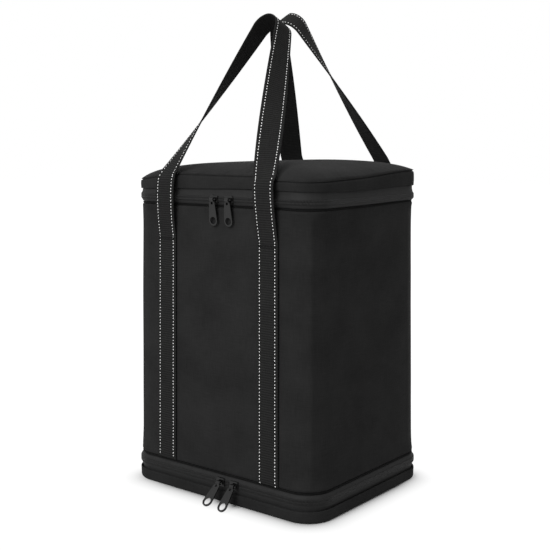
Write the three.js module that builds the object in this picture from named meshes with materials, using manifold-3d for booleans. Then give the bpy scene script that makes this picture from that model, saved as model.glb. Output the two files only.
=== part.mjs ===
// Wine cooler bag: an insulated body that keeps six bottles upright, a padded lid that zips round
// three sides and folds back on a fabric hinge, a shallow zip-open base compartment, and two webbing
// carry handles that twist on their way up and lean together above the lid.
// Millimetres, +Z up, the front face towards -Y, the origin under the middle of the base.

import * as THREE from 'three';
import { mergeVertices } from 'three/addons/utils/BufferGeometryUtils.js';
import Module from 'manifold-3d';

const wasm = await Module();
wasm.setup();

// Outer sizes of the bag
const bagWidth = 284;
const bagDepth = 232;
const cornerRadius = 32;
const baseRimHeight = 13.6;
const zipBandHeight = 20.4;
const bodyHeight = 310;
const lidRimHeight = 15.2;
const lidCrownRise = 18;
const lidCrownFullness = 3.5; // a higher power keeps the crown flatter in the middle
const rimOverhang = 2.2; // the lid and base rims stand proud of the body by this much
const baseEdgeRadius = 3;

// Sheet thicknesses and clearances
const fabricThickness = 1.5;
const foamThickness = 5;
const linerThickness = 1;
const boardThickness = 3;
const seamGap = 0.3; // between pieces sewn or laid against each other
const partingGap = 0.4; // between pieces that come apart when a zip opens

// Zips
const tapeThickness = 1;
const tapeTuck = 4.5; // how far a tape runs in behind the rim that it is sewn to
const coilWidth = 3.2; // one row of the chain
const coilRise = 1.4;
const zipEndReturn = 6; // how far each zip runs on round the rear corners

// Bottle dividers
const dividerThickness = 4;
const dividerHeight = 200;
const dividerFit = 0.6; // slack at each end and in the half-lap slots
const cellsAcross = 3;

// Webbing handles
const webbingWidth = 30;
const webbingThickness = 2.2;
const webbingEdge = 0.5; // bevel along the selvedges
const strapSpacing = 158; // between the centre lines of the two legs
const bartackDrop = 36; // the sewn run ends this far below the top of the body
const frontStandOff = 6.2; // from the lid rim to the middle of the webbing
const rearStandOff = 12;
const frontBendRise = -1; // from the lid seam up to the bend
const rearBendRise = 12.4;
const frontLoopHeight = 221.5; // along the leaning plane, from the bend to the grip
const rearLoopHeight = 222;
const frontShoulderRadius = 24;
const rearShoulderRadius = 50;
const frontTwistEase = 0.74; // under 1, the webbing turns sooner on its way up
const rearTwistEase = 1.08;
const frontGripShift = 10.5; // the grips stand this far to the right of the middle
const rearGripShift = 7;
const frontLeftDraw = 5; // how far this leg is drawn in towards its grip on the way up to the bend
const rearLeftDraw = 5;
const rearRightDraw = 4;
const frontRiserEndPull = 9.5;
const rearRiserEndPull = 24;
const riserStartPull = 21;
const riserStartLean = 4.5; // outwards over the first pull
const gripRadius = 20;
const gripMeet = 4.4; // the grips meet this far in front of the middle
const loopGap = 1.4; // between the two grips where they lean together

// Zip sliders and pulls
const sliderLength = 12.6;
const sliderNoseWidth = 10.4;
const sliderTailWidth = 8.4;
const sliderPlate = 1.2;
const sliderLip = 1.3;
const bridgeBar = 1.6;
const bridgeLeg = 1.7;
const bridgeSpan = 10;
const pullEyeWall = 0.8;
const pullEyeWidth = 5.6;
const pullThickness = 1.6;
const pullNeckWidth = 8.6;
const pullWindow = 3; // square opening under the eye
const pullRingRadius = 6.2;
const pullHoleRadius = 4.3;
const pullReach = 25.2; // from the bridge to the middle of the ring
const topSliderPlaces = [-1.2, 22.4];
const baseSliderPlaces = [9.5, 30.5];
const topPullLean = 6.5; // degrees towards the body
const basePullLeans = [-50, -43]; // degrees, splayed out until the ring rests by the floor

// Facet counts
const cornerSteps = 8;
const crownSteps = 6;
const riserSteps = 14;
const loopSteps = 76;
const roundSteps = 14;

// Levels, from the floor up
const baseSplit = baseRimHeight + zipBandHeight / 2;
const bodyBottom = baseRimHeight + zipBandHeight;
const bodyTop = bodyBottom + bodyHeight;
const topSplit = bodyTop + zipBandHeight / 2;
const lidRimBottom = bodyTop + zipBandHeight;
const lidSeam = lidRimBottom + lidRimHeight;
const foamBottom = bodyBottom + fabricThickness + seamGap;
const linerBottom = foamBottom + foamThickness + seamGap;
const wallTop = topSplit - 4 * partingGap;

// Distances from the body's outer face, outwards positive
const rimInner = rimOverhang - fabricThickness;
const tapeOuter = rimInner - seamGap;
const tapeInner = tapeOuter - tapeThickness;
const coilInner = tapeOuter + seamGap;
const coilOuter = coilInner + coilRise;
const foamOuter = -fabricThickness - seamGap;
const linerOuter = foamOuter - foamThickness - seamGap;
const linerInner = linerOuter - linerThickness;

// The flat stretch of the rear face that folds as a hinge
const hingeHalfWidth = bagWidth / 2 - cornerRadius - zipEndReturn;

const finishes = {
  polyester: { color: 0x232325, roughness: 0.85, metalness: 0 },
  tape: { color: 0x2a2a2c, roughness: 0.7, metalness: 0 },
  coil: { color: 0x1d1d1f, roughness: 0.45, metalness: 0 },
  webbing: { color: 0x1f1f21, roughness: 0.8, metalness: 0 },
  foam: { color: 0xe9e9e4, roughness: 0.95, metalness: 0 },
  foil: { color: 0xb9bcc0, roughness: 0.35, metalness: 0.6 },
  board: { color: 0x3a3a3c, roughness: 0.6, metalness: 0 },
  divider: { color: 0x77797d, roughness: 0.8, metalness: 0 },
  paintedMetal: { color: 0x141416, roughness: 0.35, metalness: 0.8 },
};

const bag = new THREE.Group();

function weld(geometry) {
  const bare = geometry.clone();
  bare.deleteAttribute('normal');
  bare.deleteAttribute('uv');
  return mergeVertices(bare, 1e-4);
}

function addPart(name, geometry, finish) {
  const welded = weld(geometry);
  welded.computeVertexNormals();
  const mesh = new THREE.Mesh(welded, new THREE.MeshStandardMaterial(finish));
  mesh.name = name;
  bag.add(mesh);
  return mesh;
}

function toManifold(geometry) {
  const welded = weld(geometry);
  return new wasm.Manifold(new wasm.Mesh({
    numProp: 3,
    vertProperties: new Float32Array(welded.attributes.position.array),
    triVerts: new Uint32Array(welded.index.array),
  }));
}

function fromManifold(manifold) {
  const mesh = manifold.getMesh();
  const geometry = new THREE.BufferGeometry();
  geometry.setAttribute('position', new THREE.BufferAttribute(mesh.vertProperties, 3));
  geometry.setIndex(new THREE.BufferAttribute(mesh.triVerts, 1));
  return geometry;
}

function subtract(solid, ...tools) {
  return fromManifold(tools.reduce((left, tool) => left.subtract(toManifold(tool)), toManifold(solid)));
}

function join(first, ...others) {
  return fromManifold(others.reduce((sum, other) => sum.add(toManifold(other)), toManifold(first)));
}

function boxBetween(low, high) {
  const size = high.map((value, axis) => value - low[axis]);
  const middle = high.map((value, axis) => (value + low[axis]) / 2);
  return new THREE.BoxGeometry(...size).translate(...middle);
}

// The bag's plan outline, moved in or out by an offset: four corner arcs joined by straight sides
function outlinePoints(offset) {
  const points = [];
  const radius = cornerRadius + offset;
  const centreX = bagWidth / 2 - cornerRadius;
  const centreY = bagDepth / 2 - cornerRadius;
  [[1, 1], [-1, 1], [-1, -1], [1, -1]].forEach(([signX, signY], corner) => {
    for (let step = 0; step <= cornerSteps; step += 1) {
      const angle = (corner + step / cornerSteps) * Math.PI / 2;
      points.push(new THREE.Vector2(
        signX * centreX + radius * Math.cos(angle),
        signY * centreY + radius * Math.sin(angle),
      ));
    }
  });
  return points;
}

function extrudeUp(shape, bottom, top) {
  const options = { depth: top - bottom, bevelEnabled: false, curveSegments: roundSteps };
  return new THREE.ExtrudeGeometry(shape, options).translate(0, 0, bottom);
}

function plate(offset, bottom, top) {
  return extrudeUp(new THREE.Shape(outlinePoints(offset)), bottom, top);
}

function band(outer, inner, bottom, top) {
  const shape = new THREE.Shape(outlinePoints(outer));
  shape.holes.push(new THREE.Path(outlinePoints(inner)));
  return extrudeUp(shape, bottom, top);
}

// A skin through rings of equal point counts, closed by a fan at each end
function loft(rings) {
  const count = rings[0].length;
  const positions = rings.flatMap((ring) => ring.flatMap((point) => point.toArray()));
  const index = [];
  for (let row = 0; row + 1 < rings.length; row += 1) {
    for (let side = 0; side < count; side += 1) {
      const next = (side + 1) % count;
      const lower = row * count;
      const upper = lower + count;
      index.push(lower + side, lower + next, upper + next);
      index.push(lower + side, upper + next, upper + side);
    }
  }
  [0, rings.length - 1].forEach((row) => {
    const middle = rings[row].reduce((sum, point) => sum.add(point), new THREE.Vector3());
    const hub = positions.length / 3;
    positions.push(...middle.divideScalar(count).toArray());
    for (let side = 0; side < count; side += 1) {
      const here = row * count + side;
      const next = row * count + (side + 1) % count;
      index.push(...(row === 0 ? [hub, next, here] : [hub, here, next]));
    }
  });
  const geometry = new THREE.BufferGeometry();
  geometry.setAttribute('position', new THREE.Float32BufferAttribute(positions, 3));
  geometry.setIndex(index);
  return geometry;
}

function ring(offset, height, scale = 1) {
  return outlinePoints(offset).map((point) => new THREE.Vector3(point.x * scale, point.y * scale, height));
}

// A crowned cap with a skirt: the lid cover, its foam and its liner are three of these, one in another
function crownedCap(outerOffset, thickness, drop, bottom) {
  const shares = Array.from({ length: crownSteps + 1 }, (_, step) => 1 - step / (crownSteps + 0.5));
  const rise = (share) => lidSeam + lidCrownRise * (1 - share ** lidCrownFullness) - drop;
  const outer = shares.map((share) => ring(outerOffset, rise(share), share));
  const inner = shares.map((share) => ring(outerOffset - thickness, rise(share) - thickness, share));
  return loft([
    ...inner.reverse(),
    ring(outerOffset - thickness, bottom),
    ring(outerOffset, bottom),
    ...outer,
  ]);
}

function bodyParts() {
  addPart('body_sleeve', band(0, -fabricThickness, bodyBottom, bodyTop), finishes.polyester);
  addPart('wall_foam', band(foamOuter, foamOuter - foamThickness, foamBottom, wallTop), finishes.foam);
  const floorTop = bodyBottom + fabricThickness;
  addPart('body_floor', plate(foamOuter, bodyBottom, floorTop), finishes.polyester);
  addPart('floor_foam', plate(linerOuter, foamBottom, foamBottom + foamThickness), finishes.foam);
  const bucket = subtract(
    plate(linerOuter, linerBottom, wallTop),
    plate(linerInner, linerBottom + linerThickness, wallTop + linerThickness),
  );
  addPart('inner_liner', bucket, finishes.foil);
}

// Slotted panels that cross in half-laps and stand on the liner's floor
function dividerPanel(length, slotPlaces, slotFromTop) {
  const bottom = linerBottom + linerThickness + seamGap;
  const top = bottom + dividerHeight;
  const slotHalf = dividerThickness / 2 + dividerFit;
  const middle = (bottom + top) / 2;
  const slotLow = slotFromTop ? middle - dividerFit : bottom - dividerFit;
  const slotHigh = slotFromTop ? top + dividerFit : middle + dividerFit;
  const panel = boxBetween(
    [-length / 2, -dividerThickness / 2, bottom],
    [length / 2, dividerThickness / 2, top],
  );
  const slots = slotPlaces.map((place) => boxBetween(
    [place - slotHalf, -dividerThickness, slotLow],
    [place + slotHalf, dividerThickness, slotHigh],
  ));
  return subtract(panel, ...slots);
}

function dividerParts() {
  const roomAcross = bagWidth + 2 * linerInner;
  const roomDeep = bagDepth + 2 * linerInner;
  const crossPlaces = [];
  for (let wall = 1; wall < cellsAcross; wall += 1) {
    crossPlaces.push(roomAcross * (wall / cellsAcross - 0.5));
  }
  const long = dividerPanel(roomAcross - 2 * dividerFit, crossPlaces, true);
  addPart('divider_long', long, finishes.divider);
  crossPlaces.forEach((place) => {
    const cross = dividerPanel(roomDeep - 2 * dividerFit, [0], false);
    const side = place < 0 ? 'left' : 'right';
    const mesh = addPart(`divider_cross_${side}`, cross, finishes.divider);
    mesh.rotation.z = Math.PI / 2;
    mesh.position.x = place;
  });
}

function lidParts() {
  const foamStart = rimInner - seamGap;
  const linerStart = foamStart - foamThickness - seamGap;
  const foamDrop = fabricThickness + seamGap;
  const linerDrop = foamDrop + foamThickness + seamGap;
  const hem = lidRimBottom + tapeTuck; // where the foam and the liner end, level with the tape's sewn edge
  const cover = crownedCap(rimOverhang, fabricThickness, 0, lidRimBottom);
  addPart('lid_cover', cover, finishes.polyester);
  addPart('lid_foam', crownedCap(foamStart, foamThickness, foamDrop, hem + seamGap), finishes.foam);
  addPart('lid_liner', crownedCap(linerStart, linerThickness, linerDrop, hem), finishes.foil);
}

function baseParts() {
  const edge = [];
  for (let step = 0; step <= 4; step += 1) {
    const angle = step / 4 * Math.PI / 2;
    const inset = rimOverhang - baseEdgeRadius * (1 - Math.sin(angle));
    edge.push(ring(inset, baseEdgeRadius * (1 - Math.cos(angle))));
  }
  const tray = loft([
    ...edge,
    ring(rimOverhang, baseRimHeight),
    ring(rimInner, baseRimHeight),
    ring(rimInner, baseEdgeRadius),
  ]);
  addPart('base_tray', tray, finishes.polyester);
  const boardBottom = baseEdgeRadius + seamGap;
  const board = plate(rimInner - seamGap, boardBottom, boardBottom + boardThickness);
  addPart('base_board', board, finishes.board);
}

// One zip: a tape and a chain row on each side of its parting level, and the fabric hinge behind
function zipParts(prefix, hingePrefix, split, low, high) {
  const rearLow = bagDepth / 2 - cornerRadius;
  const rearHigh = bagDepth / 2 + 2 * rimOverhang + coilOuter;
  const halves = [
    { half: 'lower', bottom: low, top: split - partingGap / 2, sign: -1 },
    { half: 'upper', bottom: split + partingGap / 2, top: high, sign: 1 },
  ];
  halves.forEach(({ half, bottom, top, sign }) => {
    const below = bottom - 1;
    const above = top + 1;
    const tapeCut = boxBetween([-hingeHalfWidth, rearLow, below], [hingeHalfWidth, rearHigh, above]);
    const tape = subtract(band(tapeOuter, tapeInner, bottom, top), tapeCut);
    addPart(`${prefix}_tape_${half}`, tape, finishes.tape);
    const near = split + sign * partingGap / 4;
    const far = near + sign * coilWidth;
    const coilHalfWidth = hingeHalfWidth + zipEndReturn;
    const coilCut = boxBetween([-coilHalfWidth, rearLow, below], [coilHalfWidth, rearHigh, above]);
    const row = band(coilOuter, coilInner, Math.min(near, far), Math.max(near, far));
    addPart(`${prefix}_coil_${half}`, subtract(row, coilCut), finishes.coil);
    const leaf = boxBetween(
      [-hingeHalfWidth + seamGap, bagDepth / 2 + tapeInner, bottom],
      [hingeHalfWidth - seamGap, bagDepth / 2 + tapeOuter, top],
    );
    addPart(`${hingePrefix}_hinge_${half}`, leaf, finishes.polyester);
  });
}

// A flat strip of webbing swept through frames that give its middle, its width and its face direction
function webbing(frames) {
  const halfWidth = webbingWidth / 2;
  const halfThickness = webbingThickness / 2;
  const section = [
    [halfWidth, -halfThickness + webbingEdge], [halfWidth, halfThickness - webbingEdge],
    [halfWidth - webbingEdge, halfThickness], [-halfWidth + webbingEdge, halfThickness],
    [-halfWidth, halfThickness - webbingEdge], [-halfWidth, -halfThickness + webbingEdge],
    [-halfWidth + webbingEdge, -halfThickness], [halfWidth - webbingEdge, -halfThickness],
  ];
  const rings = frames.map(({ middle, across, face }) => section.map(([along, out]) => (
    middle.clone().addScaledVector(across, along).addScaledVector(face, out)
  )));
  return loft(rings);
}

const bartackLevel = bodyTop - bartackDrop;
const strapReach = bagDepth / 2 + seamGap + webbingThickness / 2;

// The two handles differ a little; the front one faces -Y
const frontHandle = {
  facing: -1,
  standOff: frontStandOff,
  bendRise: frontBendRise,
  height: frontLoopHeight,
  shoulderRadius: frontShoulderRadius,
  twistEase: frontTwistEase,
  gripShift: frontGripShift,
  leftDraw: frontLeftDraw,
  rightDraw: 0,
  riserEndPull: frontRiserEndPull,
};
const rearHandle = {
  facing: 1,
  standOff: rearStandOff,
  bendRise: rearBendRise,
  height: rearLoopHeight,
  shoulderRadius: rearShoulderRadius,
  twistEase: rearTwistEase,
  gripShift: rearGripShift,
  leftDraw: rearLeftDraw,
  rightDraw: rearRightDraw,
  riserEndPull: rearRiserEndPull,
};

// Where a handle bends over the lid edge, and the lean that brings its inner selvedge to the other grip
function bendOf(handle) {
  const reach = bagDepth / 2 + rimOverhang + handle.standOff;
  const level = lidSeam + handle.bendRise;
  const travel = reach + handle.facing * gripMeet - loopGap / 2;
  const halfWidth = webbingWidth / 2;
  const arm = Math.hypot(handle.height, halfWidth);
  const lean = Math.asin(travel / arm) - Math.atan2(halfWidth, handle.height);
  return { reach, level, lean };
}

// Straight run sewn to the body, with its selvedges bevelled
function sewnStrap(facing, side) {
  const across = new THREE.Vector3(facing, 0, 0);
  const face = new THREE.Vector3(0, facing, 0);
  const levels = [bodyBottom + seamGap, bartackLevel - seamGap / 2];
  return webbing(levels.map((level) => ({
    middle: new THREE.Vector3(side * strapSpacing / 2, facing * strapReach, level),
    across,
    face,
  })));
}

// The short free length from the bartack, out past the lid rim and over to the leaning plane
function riser(handle, side) {
  const { facing } = handle;
  const bend = bendOf(handle);
  const draw = side < 0 ? handle.leftDraw : handle.rightDraw;
  const start = new THREE.Vector2(strapReach, bartackLevel + seamGap / 2);
  const end = new THREE.Vector2(bend.reach, bend.level);
  const upwards = new THREE.Vector2(-Math.sin(bend.lean), Math.cos(bend.lean));
  const curve = new THREE.CubicBezierCurve(
    start,
    start.clone().add(new THREE.Vector2(riserStartLean, riserStartPull)),
    end.clone().addScaledVector(upwards, -handle.riserEndPull),
    end,
  );
  const frames = [];
  for (let step = 0; step <= riserSteps; step += 1) {
    const place = curve.getPoint(step / riserSteps);
    const tangent = curve.getTangent(step / riserSteps);
    const inwards = draw * THREE.MathUtils.smoothstep(step, 0, riserSteps);
    frames.push({
      middle: new THREE.Vector3(side * (strapSpacing / 2 - inwards), facing * place.x, place.y),
      across: new THREE.Vector3(facing, 0, 0),
      face: new THREE.Vector3(0, facing * tangent.y, -tangent.x),
    });
  }
  return webbing(frames);
}

// The outline of a loop in its own plane: shoulder arcs, straight legs and a rounded grip
function loopPath(handle) {
  const { shoulderRadius, gripShift } = handle;
  const rightShoulder = strapSpacing / 2 - handle.rightDraw - shoulderRadius;
  const leftShoulder = strapSpacing / 2 - handle.leftDraw - shoulderRadius;
  const gripCentre = handle.height - gripRadius;
  const [rightTurn, leftTurn] = [rightShoulder - gripShift, leftShoulder + gripShift].map((run) => (
    Math.atan2(run, gripCentre) + Math.asin((shoulderRadius - gripRadius) / Math.hypot(run, gripCentre))
  ));
  const path = new THREE.Path();
  path.absarc(rightShoulder, 0, shoulderRadius, 0, rightTurn, false);
  path.absarc(gripShift, gripCentre, gripRadius, rightTurn, Math.PI - leftTurn, false);
  path.absarc(-leftShoulder, 0, shoulderRadius, Math.PI - leftTurn, Math.PI, false);
  return path;
}

// The webbing lies flat at both ends of a loop and turns edge-on at the grip, a quarter twist each way
function handleLoop(handle) {
  const { facing } = handle;
  const { reach, level, lean } = bendOf(handle);
  const path = loopPath(handle);
  path.arcLengthDivisions = 2000;
  const up = new THREE.Vector3(0, -facing * Math.sin(lean), Math.cos(lean));
  const outward = new THREE.Vector3(0, facing * Math.cos(lean), Math.sin(lean));
  const base = new THREE.Vector3(0, facing * reach, level).addScaledVector(up, seamGap);
  const frames = [];
  for (let step = 0; step <= loopSteps; step += 1) {
    const along = step / loopSteps;
    const place = path.getPointAt(along);
    const tangent = path.getTangentAt(along);
    const twist = Math.PI / 2 * (1 - Math.abs(2 * along - 1)) ** handle.twistEase;
    const inside = new THREE.Vector3(-tangent.y, 0, 0).addScaledVector(up, tangent.x);
    const across = inside.clone().multiplyScalar(Math.cos(twist)).addScaledVector(outward, Math.sin(twist));
    const face = outward.clone().multiplyScalar(Math.cos(twist)).addScaledVector(inside, -Math.sin(twist));
    frames.push({
      middle: base.clone().add(new THREE.Vector3(place.x, 0, 0)).addScaledVector(up, place.y),
      across: across.multiplyScalar(-facing),
      face,
    });
  }
  return webbing(frames);
}

function handleParts() {
  [['front', frontHandle], ['rear', rearHandle]].forEach(([end, handle]) => {
    [['left', -1], ['right', 1]].forEach(([name, side]) => {
      addPart(`${end}_strap_${name}`, sewnStrap(handle.facing, side), finishes.webbing);
      addPart(`${end}_riser_${name}`, riser(handle, side), finishes.webbing);
    });
    addPart(`${end}_handle`, handleLoop(handle), finishes.webbing);
  });
}

// Slider frame: x along the zip, y outwards from the tape as -Y, z across the zip
const sliderPlateInner = coilOuter - tapeOuter + seamGap;
const sliderPlateOuter = sliderPlateInner + sliderPlate;
const pullBore = Math.SQRT1_2 * bridgeBar + seamGap;
const pullEyeRadius = pullBore + pullEyeWall;
const bridgeAxis = sliderPlateOuter + pullEyeRadius + seamGap;
const bridgeTop = bridgeAxis + bridgeBar / 2;

function outwardsFrom(geometry, start) {
  return geometry.rotateX(Math.PI / 2).translate(0, -start, 0);
}

function sliderBody(lipSign) {
  const half = sliderLength / 2;
  const nose = sliderNoseWidth / 2;
  const tail = sliderTailWidth / 2;
  const waist = sliderLength / 5;
  const outline = new THREE.Shape();
  outline.moveTo(-half, -tail);
  outline.lineTo(-waist, -tail);
  outline.quadraticCurveTo(0, -tail, waist / 2, -nose);
  outline.quadraticCurveTo(half, -nose, half, -nose / 3);
  outline.lineTo(half, nose / 3);
  outline.quadraticCurveTo(half, nose, waist / 2, nose);
  outline.quadraticCurveTo(0, tail, -waist, tail);
  outline.lineTo(-half, tail);
  const options = { depth: sliderPlate, bevelEnabled: false, curveSegments: 6 };
  const cover = outwardsFrom(new THREE.ExtrudeGeometry(outline, options), sliderPlateInner);
  const lipStart = lipSign * (coilWidth + seamGap);
  const lipEnd = lipSign * (coilWidth + seamGap + sliderLip);
  const lip = boxBetween(
    [-half * 0.8, -sliderPlateOuter, Math.min(lipStart, lipEnd)],
    [half * 0.8, -seamGap, Math.max(lipStart, lipEnd)],
  );
  return join(cover, lip, sliderBridge());
}

// An arch along the zip, with a window under its bar for the eye of the pull
function sliderBridge() {
  const half = bridgeSpan / 2;
  const round = bridgeBar;
  const arch = new THREE.Shape();
  arch.moveTo(-half, sliderPlateOuter - sliderPlate / 2);
  arch.lineTo(-half, bridgeTop - round);
  arch.quadraticCurveTo(-half, bridgeTop, -half + round, bridgeTop);
  arch.lineTo(half - round, bridgeTop);
  arch.quadraticCurveTo(half, bridgeTop, half, bridgeTop - round);
  arch.lineTo(half, sliderPlateOuter - sliderPlate / 2);
  const window = new THREE.Path();
  const inside = half - bridgeLeg;
  window.moveTo(-inside, sliderPlateOuter);
  window.lineTo(inside, sliderPlateOuter);
  window.lineTo(inside, bridgeTop - bridgeBar);
  window.lineTo(-inside, bridgeTop - bridgeBar);
  arch.holes.push(window);
  const options = { depth: bridgeBar, bevelEnabled: false, curveSegments: 5 };
  const geometry = new THREE.ExtrudeGeometry(arch, options);
  geometry.translate(0, 0, -bridgeBar / 2);
  return geometry.applyMatrix4(new THREE.Matrix4().makeScale(1, -1, -1));
}

// A flat tab that widens to a round ring, with a window under the rolled eye that turns on the bridge bar
function pullTab() {
  const neck = pullNeckWidth / 2;
  const shoulder = pullEyeRadius + bridgeBar / 2;
  const neckEnd = shoulder + neck / 2;
  const sideRise = pullReach - neckEnd;
  const ringTurn = Math.atan2(sideRise, neck) - Math.acos(pullRingRadius / Math.hypot(sideRise, neck));
  const tab = new THREE.Shape();
  tab.moveTo(-pullEyeWidth / 2, -pullBore);
  tab.lineTo(-pullEyeWidth / 2, -shoulder);
  tab.quadraticCurveTo(-neck, -shoulder, -neck, -neckEnd);
  tab.absarc(0, -pullReach, pullRingRadius, Math.PI - ringTurn, 2 * Math.PI + ringTurn, false);
  tab.lineTo(neck, -neckEnd);
  tab.quadraticCurveTo(neck, -shoulder, pullEyeWidth / 2, -shoulder);
  tab.lineTo(pullEyeWidth / 2, -pullBore);
  const hole = new THREE.Path();
  hole.absarc(0, -pullReach, pullHoleRadius, 0, 2 * Math.PI, true);
  const windowTop = -pullEyeRadius - pullEyeWall;
  const window = new THREE.Path();
  window.moveTo(-pullWindow / 2, windowTop);
  window.lineTo(-pullWindow / 2, windowTop - pullWindow);
  window.lineTo(pullWindow / 2, windowTop - pullWindow);
  window.lineTo(pullWindow / 2, windowTop);
  tab.holes.push(hole, window);
  const options = { depth: pullThickness, bevelEnabled: false, curveSegments: roundSteps };
  const blade = new THREE.ExtrudeGeometry(tab, options);
  blade.translate(0, 0, -pullThickness / 2).rotateX(Math.PI / 2);
  const eye = new THREE.Shape();
  eye.absarc(0, 0, pullEyeRadius, 0, 2 * Math.PI, false);
  const bore = new THREE.Path();
  bore.absarc(0, 0, pullBore, 0, 2 * Math.PI, true);
  eye.holes.push(bore);
  const rolled = new THREE.ExtrudeGeometry(eye, { ...options, depth: pullEyeWidth });
  rolled.translate(0, 0, -pullEyeWidth / 2).rotateY(Math.PI / 2);
  const boreTool = new THREE.CylinderGeometry(pullBore, pullBore, 2 * pullEyeWidth, roundSteps);
  boreTool.rotateZ(Math.PI / 2);
  return subtract(join(blade, rolled), boreTool);
}

function sliderParts(prefix, places, level, lipSign, leans) {
  places.forEach((place, number) => {
    const side = number === 0 ? 'left' : 'right';
    const front = -bagDepth / 2 - tapeOuter;
    const slider = addPart(`${prefix}_slider_${side}`, sliderBody(lipSign), finishes.paintedMetal);
    slider.position.set(place, front, level);
    if (side === 'left') {
      slider.scale.x = -1;
    }
    const pull = addPart(`${prefix}_pull_${side}`, pullTab(), finishes.paintedMetal);
    pull.position.set(place, front - bridgeAxis, level);
    pull.rotation.x = THREE.MathUtils.degToRad(leans[number]);
  });
}

bodyParts();
dividerParts();
lidParts();
baseParts();
zipParts('top_zip', 'lid', topSplit, bodyTop + seamGap, lidRimBottom + tapeTuck);
zipParts('base_zip', 'base', baseSplit, baseRimHeight - tapeTuck, bodyBottom - seamGap);
handleParts();
sliderParts('top', topSliderPlaces, topSplit, -1, [topPullLean, topPullLean]);
sliderParts('base', baseSliderPlaces, baseSplit, 1, basePullLeans);

export default bag;
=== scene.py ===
import math

import bpy
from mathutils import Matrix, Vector, noise


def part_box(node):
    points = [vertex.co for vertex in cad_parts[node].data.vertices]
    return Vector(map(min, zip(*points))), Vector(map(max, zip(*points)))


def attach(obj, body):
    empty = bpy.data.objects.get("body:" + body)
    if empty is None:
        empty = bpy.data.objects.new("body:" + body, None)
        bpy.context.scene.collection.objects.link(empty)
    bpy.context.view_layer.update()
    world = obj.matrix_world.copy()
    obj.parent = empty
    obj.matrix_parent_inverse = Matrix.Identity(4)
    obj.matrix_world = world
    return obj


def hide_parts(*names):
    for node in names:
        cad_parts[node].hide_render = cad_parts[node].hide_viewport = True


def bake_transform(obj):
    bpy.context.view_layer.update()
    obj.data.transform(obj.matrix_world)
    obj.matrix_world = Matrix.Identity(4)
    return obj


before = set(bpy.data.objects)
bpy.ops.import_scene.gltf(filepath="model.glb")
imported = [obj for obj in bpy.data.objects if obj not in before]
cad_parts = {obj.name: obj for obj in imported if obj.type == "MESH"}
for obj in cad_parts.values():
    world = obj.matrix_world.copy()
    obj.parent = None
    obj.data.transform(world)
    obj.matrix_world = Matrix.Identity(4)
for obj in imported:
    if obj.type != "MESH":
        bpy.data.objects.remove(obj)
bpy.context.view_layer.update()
mm = 0.001


def zipSplit(end):  # the level at which the two halves of a zip part
    return (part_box(f"{end}_zip_tape_lower")[1].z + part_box(f"{end}_zip_tape_upper")[0].z) / 2


# Sizes taken from the frame, metres
sleeveLow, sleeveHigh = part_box("body_sleeve")
coverLow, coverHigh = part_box("lid_cover")
linerLow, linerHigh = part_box("inner_liner")
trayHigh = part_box("base_tray")[1]
bodyBottom, bodyTop = sleeveLow.z, sleeveHigh.z
rimBottom, crownTop = coverLow.z, coverHigh.z
trayTop, wallTop = trayHigh.z, linerHigh.z
rimOut, linerOut = coverHigh.x - sleeveHigh.x, linerHigh.x - sleeveHigh.x
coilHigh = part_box("top_zip_coil_lower")[1].x - sleeveHigh.x
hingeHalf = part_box("lid_hinge_lower")[1].x
topSplit, baseSplit = zipSplit("top"), zipSplit("base")

bag = {
    "corner": 32 * mm,  # plan radius of the four corners
    "crownRise": 18 * mm,
    "crownPower": 3.5,  # a higher power keeps the lid flatter in the middle
    "columnStep": 2.4 * mm,  # mesh spacing round the bag
}
lidSeam = crownTop - bag["crownRise"]


def millimetres(**sizes):
    return {name: size * mm for name, size in sizes.items()}


def clamp(value):
    return max(0.0, min(1.0, value))


def smooth(value):
    value = clamp(value)
    return value * value * (3 - 2 * value)


def cloud(x, y, z):  # soft noise from about -1 to 1
    return noise.noise(Vector((x, y, z)))


def steps(low, high, spacing):
    count = max(1, round((high - low) / spacing))
    return [low + (high - low) * i / count for i in range(count + 1)]


def ringShares(settings):  # rings that fill a panel, from the smallest to the full outline
    rings, last = settings["rings"], settings["lastShare"]
    return [last + (1 - last) * i / rings for i in range(rings + 1)]


def panel(out, level, shares):
    return [(out, level, share) for share in shares]


# Plan outline as (length, turn), walked from the middle of the rear face: left side, front, right side, back
def outlineLegs():
    flatX, flatY = sleeveHigh.x - bag["corner"], sleeveHigh.y - bag["corner"]
    arc = math.pi / 2 * bag["corner"]
    return [(flatX, 0), (arc, 1), (2 * flatY, 0), (arc, 1), (2 * flatX, 0), (arc, 1),
            (2 * flatY, 0), (arc, 1), (flatX, 0)]


def outlineAt(place):
    x, y, heading = 0.0, sleeveHigh.y, math.pi
    left = place
    for leg, turn in outlineLegs():
        step = min(left, leg)
        if turn:
            middleX = x - bag["corner"] * math.sin(heading)
            middleY = y + bag["corner"] * math.cos(heading)
            heading += step / bag["corner"]
            x = middleX + bag["corner"] * math.sin(heading)
            y = middleY - bag["corner"] * math.cos(heading)
        else:
            x += step * math.cos(heading)
            y += step * math.sin(heading)
        left -= step
        if left <= 1e-12:
            break
    return Vector((x, y, 0)), Vector((math.sin(heading), -math.cos(heading), 0))


cornerPlaces = []
outlineLength = 0.0
for leg, turn in outlineLegs():
    if turn:
        cornerPlaces.append(outlineLength + leg / 2)
    outlineLength += leg
zipColumns = steps(hingeHalf, outlineLength - hingeHalf, bag["columnStep"])  # open behind, where the hinge is


def roundColumns(step=bag["columnStep"]):
    return steps(0, outlineLength, step)[:-1]


# How far an edge is lifted off its level round the bag, given for each side as (share of the side, mm)
def liftStops(lifts):
    ends = cornerPlaces[1:] + [cornerPlaces[0] + outlineLength]
    stops = []
    for side, start, end in zip(("left", "front", "right", "rear"), cornerPlaces, ends):
        stops += [(start + (end - start) * share, lift * mm) for share, lift in lifts[side]]
    return stops + [(stops[0][0] + outlineLength, stops[0][1])]


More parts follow.
